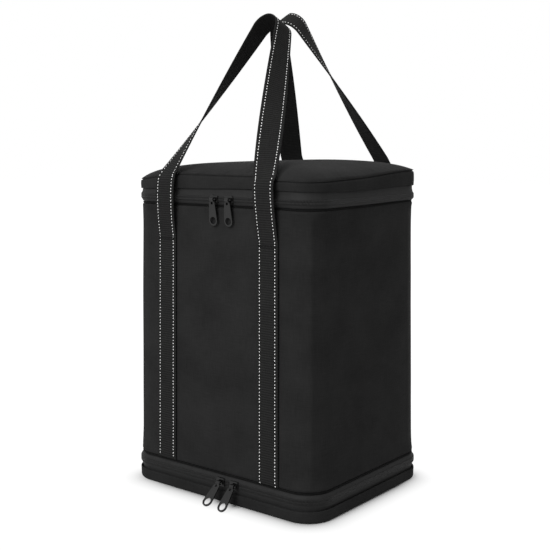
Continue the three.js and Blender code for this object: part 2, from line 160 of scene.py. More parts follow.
def liftAt(place, stops):
    if place < stops[0][0]:
        place += outlineLength
    for (start, low), (end, high) in zip(stops, stops[1:]):
        if place <= end:
            return low + (high - low) * smooth((place - start) / (end - start))
    return stops[-1][1]


def newPiece(name, points, faces, corners=None):
    mesh = bpy.data.meshes.new(name)
    mesh.from_pydata([tuple(p) for p in points], [], faces)
    if corners:
        layer = mesh.uv_layers.new(name="cloth")
        layer.data.foreach_set("uv", [value for corner in corners for value in corner])
    mesh.polygons.foreach_set("use_smooth", [True] * len(mesh.polygons))
    mesh.update()
    piece = bpy.data.objects.new(name, mesh)
    bpy.context.scene.collection.objects.link(piece)
    return piece


def noRelief(place, spot, level, share):
    return 0, 0


def drawnIn(lower, upper):  # true between rows of a panel, whose weave is mapped straight down
    return min(lower[2], upper[2]) < 1


def everywhere(lower, upper):
    return True


# Rows of (out, level, share) swept round the outline; a share under 1 draws a row in towards the middle
def wrapPiece(name, rows, columns, relief=noRelief, looped=True, flatUv=None):
    outline = [(place, *outlineAt(place)) for place in columns]
    wide, tall = len(columns), len(rows)
    points = []
    for out, level, share in rows:
        for place, spot, away in outline:
            moreOut, moreUp = relief(place, spot, level, share)
            point = (spot + away * (out + moreOut)) * share
            points.append((point.x, point.y, level + moreUp))
    along = [0.0]
    for before, after in zip(rows, rows[1:] + rows[:1]):
        gap = math.hypot(after[0] - before[0], after[1] - before[1])
        along.append(along[-1] + gap + abs(after[2] - before[2]) * sleeveHigh.y)
    across = columns + [outlineLength]
    faces, corners = [], []
    for row in range(tall - 1 if flatUv else tall):
        upper = (row + 1) % tall
        for side in range(wide if looped else wide - 1):
            after = (side + 1) % wide
            faces.append((row * wide + side, row * wide + after, upper * wide + after, upper * wide + side))
            if flatUv and flatUv(rows[row], rows[upper]):
                corners += [points[v][:2] for v in faces[-1]]
            else:
                corners += [(across[side], along[row]), (across[side + 1], along[row]),
                            (across[side + 1], along[row + 1]), (across[side], along[row + 1])]
    if not looped:  # close the two cut ends of an open band
        faces.append([row * wide for row in range(tall)])
        faces.append([row * wide + wide - 1 for row in reversed(range(tall))])
        for place, order in ((across[0], range(tall)), (across[wide - 1], reversed(range(tall)))):
            corners += [(place, along[row]) for row in order]
    if flatUv:  # a panel is closed in the middle of its first and last rows
        for row in (0, tall - 1):
            hub = len(points)
            points.append((0, 0, rows[row][1] + relief(0, Vector(), rows[row][1], 0)[1]))
            for side in range(wide):
                here, after = row * wide + side, row * wide + (side + 1) % wide
                faces.append((hub, after, here) if row == 0 else (hub, here, after))
                corners += [points[v][:2] for v in faces[-1]]
    return newPiece(name, points, faces, corners)


# Rows for a sheet of cloth from its middle line in (out, level), given a thickness
def thicken(line, thick):
    outer, inner = [], []
    for i, (out, level) in enumerate(line):
        before, after = line[max(i - 1, 0)], line[min(i + 1, len(line) - 1)]
        run, climb = after[0] - before[0], after[1] - before[1]
        size = math.hypot(run, climb)
        offOut, offUp = climb / size * thick / 2, -run / size * thick / 2
        outer.append((out + offOut, level + offUp, 1))
        inner.append((out - offOut, level - offUp, 1))
    return outer + inner[::-1]


def tubeFaces(first, ring, rows, flip=False):  # the sides and both ends of a run of rings of points
    faces = []
    for row in range(rows - 1):
        for i in range(ring):
            a, b = first + row * ring + i, first + row * ring + (i + 1) % ring
            faces.append((b, a, a + ring, b + ring) if flip else (a, b, b + ring, a + ring))
    last = first + (rows - 1) * ring
    start, end = list(range(first, first + ring)), list(range(last, last + ring))
    return faces + ([start, end[::-1]] if flip else [start[::-1], end])


# Shader building; a socket is given a number, a colour or the output of another node
def fill(tree, node, sockets):
    for key, value in sockets.items():
        if isinstance(value, bpy.types.NodeSocket):
            tree.links.new(value, node.inputs[key])
        else:
            node.inputs[key].default_value = value


def addNode(tree, kind, sockets=None, **settings):
    node = tree.nodes.new(f"ShaderNode{kind}")
    for key, value in settings.items():
        setattr(node, key, value)
    fill(tree, node, sockets or {})
    return node


def mathNode(tree, operation, *values):
    return addNode(tree, "Math", dict(enumerate(values)), operation=operation).outputs[0]


def ridges(tree, value, turn):
    return mathNode(tree, "ABSOLUTE", mathNode(tree, "SINE", mathNode(tree, "MULTIPLY", value, turn)))


def scaledNoise(tree, vector, stretch, detail=2.0):
    scaled = addNode(tree, "VectorMath", {0: vector, 1: stretch}, operation="MULTIPLY").outputs[0]
    return addNode(tree, "TexNoise", {"Vector": scaled, "Scale": 1.0, "Detail": detail}).outputs["Fac"]


def rangeOf(tree, value, low, high, span=(0.0, 1.0)):
    return addNode(tree, "MapRange", {"Value": value, "From Min": span[0], "From Max": span[1],
                                      "To Min": low, "To Max": high}).outputs[0]


def mixColours(tree, factor, *colours):  # a grey is given as one number
    first, second = [(*c, 1) if isinstance(c, tuple) else (c, c, c, 1) for c in colours]
    mix = addNode(tree, "Mix", {"Factor": factor, "A": first, "B": second}, data_type="RGBA")
    return mix.outputs["Result"]


def groupTree(name, vector, numbers, outputs):
    tree = bpy.data.node_groups.new(name, "ShaderNodeTree")
    tree.interface.new_socket(vector, in_out="INPUT", socket_type="NodeSocketVector")
    for label, value in numbers.items():
        tree.interface.new_socket(label, in_out="INPUT", socket_type="NodeSocketFloat").default_value = value
    for label in outputs:
        tree.interface.new_socket(label, in_out="OUTPUT", socket_type="NodeSocketFloat")
    return tree, tree.nodes.new("NodeGroupInput").outputs, tree.nodes.new("NodeGroupOutput")


# Plain weave of warp and weft ridges, with slubs and slow changes of tone
weave = {"threads": 1500, "slub": 0.2, "clouds": 0.2, "slubLong": 60, "slubThin": 900, "cloudSize": 22}


def makeWeave():
    numbers = {label.title(): weave[label] for label in ("threads", "slub", "clouds")}
    tree, source, result = groupTree("plainWeave", "Cloth", numbers, ["Height", "Tone"])
    cloth = source["Cloth"]
    scaled = addNode(tree, "VectorMath", {0: cloth, "Scale": source["Threads"]}, operation="SCALE")
    across, along = addNode(tree, "SeparateXYZ", {0: scaled.outputs[0]}).outputs[:2]
    warp, weft = ridges(tree, across, math.pi), ridges(tree, along, math.pi)
    cells = mathNode(tree, "ADD", mathNode(tree, "FLOOR", across), mathNode(tree, "FLOOR", along))
    over = mathNode(tree, "FLOORED_MODULO", cells, 2.0)
    ridge = mathNode(tree, "ADD", mathNode(tree, "MULTIPLY", warp, over),
                     mathNode(tree, "MULTIPLY", weft, mathNode(tree, "SUBTRACT", 1.0, over)))
    alongWarp = scaledNoise(tree, cloth, (weave["slubThin"], weave["slubLong"], 1))
    alongWeft = scaledNoise(tree, cloth, (weave["slubLong"], weave["slubThin"], 1))
    slub = mathNode(tree, "SUBTRACT", mathNode(tree, "ADD", alongWarp, alongWeft), 1.0)
    slow = scaledNoise(tree, cloth, (weave["cloudSize"], weave["cloudSize"], 1), 3.0)
    tone = mathNode(tree, "ADD", mathNode(tree, "MULTIPLY", slub, source["Slub"]),
                    mathNode(tree, "MULTIPLY", mathNode(tree, "SUBTRACT", slow, 0.5), source["Clouds"]))
    fill(tree, result, {"Height": ridge, "Tone": mathNode(tree, "ADD", tone, 0.5)})
    return tree


# Bright, rubbed edges and fine scuffs for hard pieces
wear = {"start": 0.52, "width": 0.08, "patches": (420, 420, 420), "scuffs": (160, 900, 160)}


def makeWear():
    numbers = {"Start": wear["start"], "Width": wear["width"]}
    tree, source, result = groupTree("rubbedEdges", "Place", numbers, ["Edge", "Scuff"])
    past = mathNode(tree, "SUBTRACT", addNode(tree, "NewGeometry").outputs["Pointiness"], source["Start"])
    sharp = mathNode(tree, "MAXIMUM", mathNode(tree, "DIVIDE", past, source["Width"]), 0.0)
    patchy = scaledNoise(tree, source["Place"], wear["patches"], 3.0)
    fill(tree, result, {"Edge": mathNode(tree, "MULTIPLY", mathNode(tree, "MINIMUM", sharp, 1.0), patchy),
                        "Scuff": scaledNoise(tree, source["Place"], wear["scuffs"], 4.0)})
    return tree


weaveGroup = makeWeave()
wearGroup = makeWear()


def newMaterial(name, look):
    material = bpy.data.materials.new(name)
    material.use_nodes = True
    tree = material.node_tree
    shader = tree.nodes["Principled BSDF"]
    fill(tree, shader, {"Specular IOR Level": look["gloss"], "Metallic": look.get("metal", 0.0)})
    if "sheen" in look:
        fill(tree, shader, dict(zip(("Sheen Weight", "Sheen Roughness"), look["sheen"])))
    return material, tree, shader


def dress(tree, shader, look, tone, grain, height):
    bump = addNode(tree, "Bump", {"Height": height, "Strength": look["bump"], "Distance": look["depth"]})
    fill(tree, shader, {"Base Color": mixColours(tree, tone, look["dark"], look["light"]),
                        "Roughness": rangeOf(tree, grain, *look["rough"]), "Normal": bump.outputs["Normal"]})


def wovenMaterial(name, look):
    material, tree, shader = newMaterial(name, look)
    cloth = addNode(tree, "UVMap", uv_map="cloth").outputs["UV"]
    numbers = {label.title(): look[label] for label in ("threads", "slub", "clouds")}
    woven = addNode(tree, "Group", {"Cloth": cloth, **numbers}, node_tree=weaveGroup)
    tone = woven.outputs["Tone"]
    if "ribPitch" in look:  # the grooves between the ribs lie in shade
        along = addNode(tree, "SeparateXYZ", {0: cloth}).outputs[1]
        shade = rangeOf(tree, ridges(tree, along, math.pi / look["ribPitch"]), *look["ribShade"])
        tone = mathNode(tree, "MULTIPLY", tone, shade)
    dress(tree, shader, look, tone, woven.outputs["Tone"], woven.outputs["Height"])
    return material


def grainedMaterial(name, look):
    material, tree, shader = newMaterial(name, look)
    tone = scaledNoise(tree, addNode(tree, "TexCoord").outputs["Object"], look["stretch"], 4.0)
    dress(tree, shader, look, tone, tone, tone)
    return material


def foilMaterial(name, look):
    material, tree, shader = newMaterial(name, look)
    cloth = addNode(tree, "UVMap", uv_map="cloth").outputs["UV"]
    crinkle, emboss = [addNode(tree, "TexVoronoi", {"Vector": cloth, "Scale": look[size]}).outputs["Distance"]
                       for size in ("crinkle", "emboss")]
    height = mathNode(tree, "ADD", crinkle, mathNode(tree, "MULTIPLY", emboss, look["embossShare"]))
    dress(tree, shader, look, crinkle, height, height)
    return material


def paintedMaterial(name, look):
    material, tree, shader = newMaterial(name, look)
    place = addNode(tree, "TexCoord").outputs["Object"]
    edge, scuff = addNode(tree, "Group", {"Place": place}, node_tree=wearGroup).outputs
    dress(tree, shader, look, edge, scuff, scuff)
    fill(tree, shader, {"Metallic": rangeOf(tree, edge, 0.0, look["bareMetal"])})
    return material


polyesterLook = {
    "dark": 0.0085, "light": 0.019, "threads": 1500, "slub": 0.6, "clouds": 1.0,
    "rough": (0.95, 0.84), "bump": 0.35, "depth": 0.12 * mm, "gloss": 0.08, "sheen": (0.015, 0.4),
}
threadLook = {
    "dark": (0.78, 0.78, 0.77), "light": (0.92, 0.92, 0.91), "threads": 3000, "slub": 0.3, "clouds": 0.1,
    "rough": (0.65, 0.5), "bump": 0.3, "depth": 0.1 * mm, "gloss": 0.3,
}
paintLook = {"dark": 0.003, "light": 0.02, "bareMetal": 0.4, "bump": 0.08, "depth": 0.1 * mm}
polyester = wovenMaterial("blackPolyester", polyesterLook)
zipTape = wovenMaterial("zipTape", {
    "dark": 0.009, "light": 0.022, "threads": 2200, "slub": 0.5, "clouds": 0.4,
    "rough": (0.7, 0.55), "bump": 0.25, "depth": 0.1 * mm, "gloss": 0.1, "sheen": (0.01, 0.4)})
# painted shadow: this cloth is darker than the polyester, so the strip in each seam groove reads as shade
paintedShadowStripCloth = wovenMaterial("paintedShadowStripCloth", dict(polyesterLook, dark=0.0025, light=0.006))
webbing = wovenMaterial("webbing", {
    "dark": 0.002, "light": (0.028, 0.028, 0.0275), "ribPitch": 2.75 * mm, "ribShade": (0.3, 1.0),
    "threads": 900, "slub": 0.35, "clouds": 0.2,
    "rough": (0.9, 0.78), "bump": 0.45, "depth": 0.18 * mm, "gloss": 0.08, "sheen": (0.01, 0.4)})
whiteThread = wovenMaterial("whiteThread", threadLook)
blackThread = wovenMaterial("blackThread", dict(threadLook, dark=0.004, light=0.011, gloss=0.1))
coilNylon = grainedMaterial("coilNylon", {
    "dark": 0.005, "light": 0.011, "stretch": (300, 300, 300),
    "rough": (0.55, 0.42), "bump": 0.1, "depth": 0.05 * mm, "gloss": 0.2})
whiteFoam = grainedMaterial("closedCellFoam", {
    "dark": (0.62, 0.62, 0.58), "light": (0.8, 0.8, 0.77), "stretch": (700, 700, 700),
    "rough": (0.95, 0.85), "bump": 0.5, "depth": 0.3 * mm, "gloss": 0.2})
feltBoard = grainedMaterial("feltBoard", {
    "dark": (0.13, 0.135, 0.14), "light": (0.22, 0.225, 0.235), "stretch": (900, 900, 260),
    "rough": (0.98, 0.86), "bump": 0.5, "depth": 0.25 * mm, "gloss": 0.2, "sheen": (0.15, 0.5)})
baseSheet = grainedMaterial("mouldedBoard", {
    "dark": (0.03, 0.03, 0.032), "light": (0.05, 0.05, 0.053), "stretch": (500, 500, 500),
    "rough": (0.6, 0.45), "bump": 0.35, "depth": 0.12 * mm, "gloss": 0.4})
silverFoil = foilMaterial("silverFoil", {
    "dark": (0.36, 0.37, 0.38), "light": (0.62, 0.63, 0.65),
    "crinkle": 55.0, "emboss": 240.0, "embossShare": 0.25,
    "rough": (0.28, 0.45), "bump": 0.5, "depth": 0.9 * mm, "gloss": 0.5, "metal": 0.75})
sliderPaint = paintedMaterial("sliderPaint", dict(paintLook, rough=(0.07, 0.14), gloss=0.3))
pullPaint = paintedMaterial("pullPaint", dict(paintLook, rough=(0.14, 0.26), gloss=0.34))
print("materials made")


def finishPiece(piece, material, slot=None, body=None, replaced=()):
    piece.data.materials.clear()
    piece.data.materials.append(material)
    if body:
        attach(piece, body)
    if replaced:
        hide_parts(*replaced)
    return piece


# Body sleeve: one wrap of fabric, rolled in at both seams, creased a little down each corner
sleeve = {
    **millimetres(thick=1.1, rowStep=4, roll=4.5, tuck=1.7, pucker=0.22, puckerPitch=9, puckerReach=9,
                  topReach=90, creaseDepth=4.2, creaseReach=26, creaseRound=0.6, creaseFade=16,
                  slack=0.9, slackFade=30),  # how far the cloth wanders inwards, away from the seams
    "rollLine": [(-1, 2.6), (-1, 1.1), (-0.75, 0.55), (-0.35, 0.7), (0, 1.8), (0.12, 3.2)],  # tuck shares, mm
    "waves": [(9, 7, 0), (24, 20, 5)], "fineShare": 0.22,  # slow and fine waves, per metre round and up
    "creaseSlope": 0.36,
    "topLift": {"left": [(0, 0)], "front": [(0, 0.4), (0.86, 1.1)],
                "right": [(0, 0.5), (0.33, 0.9), (0.9, 3.2)], "rear": [(0, 3.0), (0.4, 0)]},
}
topStops = liftStops(sleeve["topLift"])


def seamGap(level):
    return min(level - bodyBottom, bodyTop - level)


def cornerCrease(place, level):
    gap = min(abs(place - corner) for corner in cornerPlaces)
    gap = math.sqrt(gap * gap + sleeve["creaseRound"] ** 2) - sleeve["creaseRound"]
    rise = 1 - math.exp(-gap * sleeve["creaseSlope"] / sleeve["creaseDepth"])
    crease = -sleeve["creaseDepth"] * rise * math.exp(-(gap / sleeve["creaseReach"]) ** 2)
    return crease * smooth(seamGap(level) / sleeve["creaseFade"])


def seamPucker(place, gap, settings):
    wander = 4 * cloud(place * 60, gap * 40, 3.1)  # keeps the puckers from coming too evenly
    wave = math.sin(2 * math.pi * place / settings["puckerPitch"] + wander)
    return settings["pucker"] * (wave * 0.5 - 0.5) * math.exp(-gap / settings["puckerReach"])


def sleeveRelief(place, spot, level, share):
    edge = seamGap(level)
    slow, fine = [cloud(spot.x * wide + start, spot.y * wide, level * tall)
                  for wide, tall, start in sleeve["waves"]]
    slack = 0.5 + 0.5 * slow + sleeve["fineShare"] * fine
    inward = sleeve["slack"] * slack * smooth(edge / sleeve["slackFade"])
    lift = liftAt(place, topStops) * smooth(1 - (bodyTop - level) / sleeve["topReach"])
    return cornerCrease(place, level) - inward + seamPucker(place, max(edge, 0), sleeve), lift


def makeSleeve():
    thick, roll = sleeve["thick"], sleeve["roll"]
    low = [(share * sleeve["tuck"], bodyBottom + up * mm) for share, up in sleeve["rollLine"]]
    high = [(out, bodyTop + bodyBottom - level) for out, level in reversed(low)]
    wall = [(0, level) for level in steps(bodyBottom + roll, bodyTop - roll, sleeve["rowStep"])]
    line = [(out - thick / 2, level) for out, level in low + wall + high]
    piece = wrapPiece("bodySleeve", thicken(line, thick), roundColumns(), sleeveRelief)
    finishPiece(piece, polyester, "black_polyester", "body", ["body_sleeve"])


makeSleeve()
print("sleeve made")


# Zip tapes lean out to the chain, so the upper one catches the light and the lower one falls into shade
tape = {
    **millimetres(thick=0.8, chainOut=0.9, chainWide=3, split=0.25, tuck=4, sleeveOut=-3.7, wave=0.12,
                  liftReach=7),
    "groove": millimetres(lid=2.5, base=2.6), "rimOut": millimetres(lid=-0.6, base=-1.6),
    "sleeveLine": [(1, -1), (1, 0), (0.65, 0.35), (0.28, 0.8), (0.06, 1.9)],  # shares of the depth, mm
    "rimLine": [(1, -1), (0.7, 2), (0, 4.5)],
    "waveWide": 30, "waveTall": 25,
}


def tapeRelief(place, spot, level, share):
    lift = liftAt(place, topStops) * smooth(1 - abs(level - bodyTop) / tape["liftReach"])
    wave = cloud(spot.x * tape["waveWide"], spot.y * tape["waveWide"], level * tape["waveTall"])
    return tape["wave"] * wave, lift


# The hidden edge runs in behind the rolled edge of the sleeve, or behind the rim of the lid or base
def makeTape(name, seam, split, hidden, flap, body, node):
    way = 1 if split > seam else -1
    chain = split - way * tape["split"]
    behindSleeve = hidden == "sleeve"
    depth = tape["sleeveOut"] if behindSleeve else tape["rimOut"][flap]
    start = seam + way * tape["groove"][flap] if behindSleeve else seam
    line = [(depth, seam - way * tape["tuck"])]
    line += [(share * depth, start + way * up * mm) for share, up in tape[f"{hidden}Line"]]
    line += [(tape["chainOut"], chain - way * tape["chainWide"]), (tape["chainOut"], chain)]
    rows = thicken(line if way > 0 else line[::-1], tape["thick"])
    piece = wrapPiece(name, rows, zipColumns, tapeRelief, looped=False)
    finishPiece(piece, zipTape, "zip_tape", body, [node])


# Painted shadow: a near-black strip of piping between the sleeve and each zip tape, darker than the bag's
# cloth, stands in for the shade in that seam groove
paintedShadowStrip = {**millimetres(radius=1.15, out=-1.5, drop=1.25), "around": 8}


def makePaintedShadowStrip(name, seam, way):
    rows = []
    for i in range(paintedShadowStrip["around"]):
        angle = 2 * math.pi * i / paintedShadowStrip["around"]
        rows.append((paintedShadowStrip["out"] + paintedShadowStrip["radius"] * math.cos(angle),
                     seam + way * paintedShadowStrip["drop"] + paintedShadowStrip["radius"] * math.sin(angle), 1))
    piece = wrapPiece(name, rows, zipColumns, tapeRelief, looped=False)
    finishPiece(piece, paintedShadowStripCloth, "black_polyester", "body")


# Nylon chain: two rows of rounded teeth that mesh half a pitch apart
teeth = {
    **millimetres(pitch=1.5, wide=1.25, reach=3.1, bite=0.3, foot=1.1, tip=0.5, heel=0.7,
                  endGap=6),  # the teeth stop this far short of the ends of the tape
    "tipSize": 0.45, "heelSize": 0.6,
    "section": [(-0.5, 0), (-0.5, 0.6), (-0.28, 0.95), (0.28, 0.95), (0.5, 0.6), (0.5, 0)],
}


def makeTeeth(name, split, way, body, node):
    stations = [(-teeth["bite"], teeth["tipSize"]), (teeth["tip"] - teeth["bite"], 1),
                (teeth["reach"] - teeth["heel"], 1), (teeth["reach"], teeth["heelSize"])]
    half = hingeHalf + teeth["endGap"]
    points, faces = [], []
    for number in range(int((outlineLength - 2 * half) / teeth["pitch"])):
        spot, away = outlineAt(half + teeth["pitch"] * (number + (0.25 if way > 0 else 0.75)))
        side = Vector((-away.y, away.x, 0))
        faces += tubeFaces(len(points), len(teeth["section"]), len(stations), flip=way > 0)
        for level, size in stations:
            for wide, tall in teeth["section"]:
                point = spot + away * (teeth["foot"] + (coilHigh - teeth["foot"]) * tall * (0.5 + 0.5 * size))
                point = point + side * wide * teeth["wide"] * size
                points.append((point.x, point.y, split + way * level))
    finishPiece(newPiece(name, points, faces), coilNylon, "zip_coil", body, [node])


for end, split, sleeveEdge, rimEdge, flap, bodyWay, bodyHalf, flapHalf in (
        ("top", topSplit, bodyTop, rimBottom, "lid", -1, "lower", "upper"),
        ("base", baseSplit, bodyBottom, trayTop, "base", 1, "upper", "lower")):
    makeTape(f"{end}ZipTapeBody", sleeveEdge, split, "sleeve", flap, "body", f"{end}_zip_tape_{bodyHalf}")
    makeTape(f"{end}ZipTapeFlap", rimEdge, split, "rim", flap, flap, f"{end}_zip_tape_{flapHalf}")
    makePaintedShadowStrip(f"{end}PaintedShadowStrip", sleeveEdge, -bodyWay)
    for half, way, body in ((bodyHalf, bodyWay, "body"), (flapHalf, -bodyWay, flap)):
        makeTeeth(f"{end}ZipTeeth{half.title()}", split, way, body, f"{end}_zip_coil_{half}")
print("zips made")


# Lid cover: a rim that tucks under, a pulled-in seam and a padded crown
lid = {
    **millimetres(thick=1.2, hem=5, seamPull=2.2, seamReach=9, rimBelly=0.35, rimLean=0.35, crownIn=0.4,
                  crownUp=0.5, liningFoot=0.8, slack=0.9, slackFade=20,
                  pucker=0.5, puckerPitch=11, puckerReach=12),
    "hemLine": [(0.9, 0.15), (0.25, 0.6)],  # mm in from the rim and up from its edge
    "rimSpan": (0.12, 0.86), "rimStep": 0.1,
    "seamLine": [(0.15, -1.1), (0.5, -0.6), (1, -0.1), (0.5, 0.6), (0.2, 1.4)],  # shares of the pull, mm
    "lining": (1 * mm, 0.6 * mm, 0.3 * mm), "waves": 11, "rimSlack": 0.3, "puckerUp": 0.8, "puckerOut": 0.4,
    "rings": 30, "lastShare": 0.05, "crownFullness": 0.72,  # under 1, the padding stands up at the seam
    "cornerSag": millimetres(frontLeft=-3, rearLeft=-3, frontRight=0, rearRight=3.6),
    "seamLift": {"left": [(0, -1), (0.5, -2)], "front": [(0, -2.7), (0.28, 4.5), (0.69, 2.6), (0.86, -2.5)],
                 "right": [(0, -3.5), (0.33, -2.2), (0.9, 2.0)], "rear": [(0, 2), (0.4, 0)]},
    "hemLift": {"left": [(0, 0)], "front": [(0, -1.5), (0.28, 0.3), (0.69, 2.5), (0.86, 2.2)],
                "right": [(0, 1.5), (0.33, -0.4), (0.9, 2.2)], "rear": [(0, 2), (0.4, 0)]},
}
seamStops, hemStops = liftStops(lid["seamLift"]), liftStops(lid["hemLift"])


def crownLevel(share):
    return lidSeam + bag["crownRise"] * (1 - share ** bag["crownPower"]) ** lid["crownFullness"]


def lidSag(x, y):  # the soft lid leans a little between its four corners
    across, back = smooth(0.5 + x / (2 * coverHigh.x)), smooth(0.5 + y / (2 * coverHigh.y))
    sag = lid["cornerSag"]
    front = sag["frontLeft"] * (1 - across) + sag["frontRight"] * across
    rear = sag["rearLeft"] * (1 - across) + sag["rearRight"] * across
    return front * (1 - back) + rear * back


def lidLift(place, spot, level, share, hem):
    seam = liftAt(place, seamStops)
    if share < 1:
        fade = math.exp(-(1 - share) * sleeveHigh.y / lid["seamReach"])
        return lidSag(spot.x * share, spot.y * share) + seam * fade
    climb = clamp((level - rimBottom) / (lidSeam - rimBottom))
    return (lidSag(spot.x, spot.y) + seam) * climb + hem * (1 - climb)


def lidRelief(place, spot, level, share):
    gap = (1 - share) * sleeveHigh.y if share < 1 else abs(lidSeam - level)
    slack = lid["slack"] * cloud(spot.x * share * lid["waves"], spot.y * share * lid["waves"], 2.7)
    pucker = seamPucker(place, gap, lid)
    lift = lidLift(place, spot, level, share, liftAt(place, hemStops))
    if share < 1:
        return 0, lift + pucker * lid["puckerUp"] + slack * smooth(gap / lid["slackFade"])
    return pucker * lid["puckerOut"] + lid["rimSlack"] * slack, lift


def makeLidCover():
    thick, shares = lid["thick"], ringShares(lid)
    crownIn, wallIn, footIn = [rimOut - thick - more for more in lid["lining"]]
    rows = [(crownIn, crownLevel(share) - thick, share) for share in shares]
    rows += [(wallIn, rimBottom + lid["hem"], 1), (footIn, rimBottom + lid["liningFoot"], 1)]
    rows += [(rimOut - back * mm, rimBottom + up * mm, 1) for back, up in lid["hemLine"]]
    for climb in steps(*lid["rimSpan"], lid["rimStep"]):
        belly = lid["rimBelly"] * math.sin(math.pi * climb) - lid["rimLean"] * (1 - climb)
        rows.append((rimOut + belly, rimBottom + climb * (lidSeam - rimBottom), 1))
    rows += [(rimOut - pull * lid["seamPull"], lidSeam + up * mm, 1) for pull, up in lid["seamLine"]]
    rows += [(rimOut - lid["crownIn"], crownLevel(share) + lid["crownUp"], share) for share in shares[-2::-1]]
    piece = wrapPiece("lidCover", rows, roundColumns(), lidRelief, flatUv=drawnIn)
    finishPiece(piece, polyester, "black_polyester", "lid", ["lid_cover"])


makeLidCover()
print("lid made")


# Base tray: a fabric rim rolled over its stiff board
tray = {
    **millimetres(thick=1.2, edge=3.2, lean=0.7, lift=0.05, rimFoot=1.5, rimHead=1.4, rimStep=2, floorIn=1.2,
                  slack=0.5, slackFade=6, pucker=0.3, puckerPitch=10, puckerReach=6),
    "turnStep": 0.3, "floorDrop": 0.4, "waves": 14, "rings": 10, "lastShare": 0.06,
    "lipLine": [(0.25, 0.5), (0.8, 0.1), (1.5, 0.6)],  # mm in from the rim and down from its edge
}


def trayRelief(place, spot, level, share):
    if share < 1:
        return 0, 0
    soft = cloud(spot.x * tray["waves"], spot.y * tray["waves"], 8.3)
    slack = 0.5 * tray["slack"] * (soft - 1) * smooth(level / tray["slackFade"])
    return seamPucker(place, trayTop - level, tray) + slack - tray["lean"] * (1 - level / trayTop), 0


def makeTray():
    thick, edge, shares = tray["thick"], tray["edge"], ringShares(tray)
    rows = panel(rimOut - edge, tray["lift"], shares)
    for turn in steps(0, math.pi / 2, tray["turnStep"])[1:]:
        rows.append((rimOut - edge * (1 - math.sin(turn)), edge * (1 - math.cos(turn)) + tray["lift"], 1))
    low, high = edge + tray["rimFoot"], trayTop - tray["rimHead"]
    rows += [(rimOut, level, 1) for level in steps(low, high, tray["rimStep"])]
    rows += [(rimOut - back * mm, trayTop - down * mm, 1) for back, down in tray["lipLine"]]
    rows.append((rows[-1][0], edge + thick, 1))
    rows += panel(rimOut - thick - tray["floorIn"], edge * tray["floorDrop"] + thick, shares[::-1])
    piece = wrapPiece("baseTray", rows, roundColumns(), trayRelief, flatUv=drawnIn)
    finishPiece(piece, polyester, "black_polyester", "base", ["base_tray"])


makeTray()
print("base made")


# Fabric hinges: one strip across each parting line, bowed a little outward between its two bodies
hinge = {
    **millimetres(thick=0.9, out=-0.3, belly=0.5, bend=8, ripple=0.15, inset=0.3, columnStep=4, rowStep=0.8,
                  bodyLap=0.5, flapLap=4),
    "ripples": 40,
}


def makeHinge(name, low, high, replaced):
    across = steps(hinge["inset"] - hingeHalf, hingeHalf - hinge["inset"], hinge["columnStep"])
    levels = steps(low, high, hinge["rowStep"])
    faceY = sleeveHigh.y + hinge["out"]
    points = []
    for level in levels:
        belly = hinge["belly"] * math.sin(math.pi * (level - low) / (high - low))
        for half, places in ((hinge["thick"] / 2, across), (-hinge["thick"] / 2, across[::-1])):
            for x in places:
                ripple = hinge["ripple"] * cloud(x * hinge["ripples"], level * hinge["ripples"], 1.7)
                points.append((x, faceY + belly + half + ripple, level))
    ring, top = 2 * len(across), len(points) - 2 * len(across)
    faces = tubeFaces(0, ring, len(levels), flip=True)[:-2]
    for i in range(len(across) - 1):
        faces.append((i, i + 1, ring - 2 - i, ring - 1 - i))
        faces.append((top + i + 1, top + i, top + ring - 1 - i, top + ring - 2 - i))
    corners = [(points[v][0], points[v][2]) for face in faces for v in face]
    piece = newPiece(name, points, faces, corners)
    finishPiece(piece, polyester, "black_polyester", None, replaced)
    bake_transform(piece)


makeHinge("lidHinge", bodyTop - hinge["bodyLap"], rimBottom + hinge["flapLap"],
          ["lid_hinge_lower", "lid_hinge_upper"])
makeHinge("baseHinge", trayTop - hinge["flapLap"], bodyBottom + hinge["bodyLap"],
          ["base_hinge_lower", "base_hinge_upper"])
print("hinges made")


# Insulation and linings
insideShares = ringShares({"rings": 14, "lastShare": 0.05})
foam = millimetres(thick=4, out=-2.7, press=1.9, pressReach=7, rowStep=12, rowGap=3, round=0.6, topDrop=0.8,
                   topRound=0.5, columnStep=4)
slab = millimetres(foamSide=0.2, foamRound=1, clothGap=0.2, columnStep=6)


def foamOutside(level):
    pressed = foam["press"] * smooth(1.5 - seamGap(level) / foam["pressReach"])  # the seams squeeze the foam
    return foam["out"] - pressed


def foamRelief(place, spot, level, share):
    return cornerCrease(place, level), 0


def makeFoam():
    nodeLow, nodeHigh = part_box("wall_foam")
    low, high = nodeLow.z, nodeHigh.z
    inner, bottom = foam["out"] - foam["thick"], low + foam["round"]
    top, shoulder = high - foam["topDrop"], high - foam["topDrop"] - foam["round"]
    levels = [bottom] + steps(low + foam["rowGap"], high - foam["rowGap"], foam["rowStep"]) + [shoulder]
    rows = [(foamOutside(low) - foam["round"], low, 1)]
    rows += [(foamOutside(level), level, 1) for level in levels]
    rows += [(foamOutside(high) - foam["round"], top, 1), (inner + foam["topRound"], top, 1),
             (inner, shoulder, 1), (inner, bottom, 1), (inner + foam["round"], low, 1)]
    wall = wrapPiece("wallFoam", rows, roundColumns(foam["columnStep"]), foamRelief)
    finishPiece(wall, whiteFoam, "foam", "body", ["wall_foam"])


def makeSlab(name, node, material, slot, sideGap, gap, edge):
    low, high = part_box(node)
    out = high.x - sleeveHigh.x - sideGap
    rows = panel(out - edge, low.z + gap, insideShares)
    if edge:
        rows += [(out, low.z + edge, 1), (out, high.z - edge, 1)]
    rows += panel(out - edge, high.z - gap, insideShares[::-1])
    piece = wrapPiece(name, rows, roundColumns(slab["columnStep"]), flatUv=everywhere)
    return finishPiece(piece, material, slot, "body", [node])


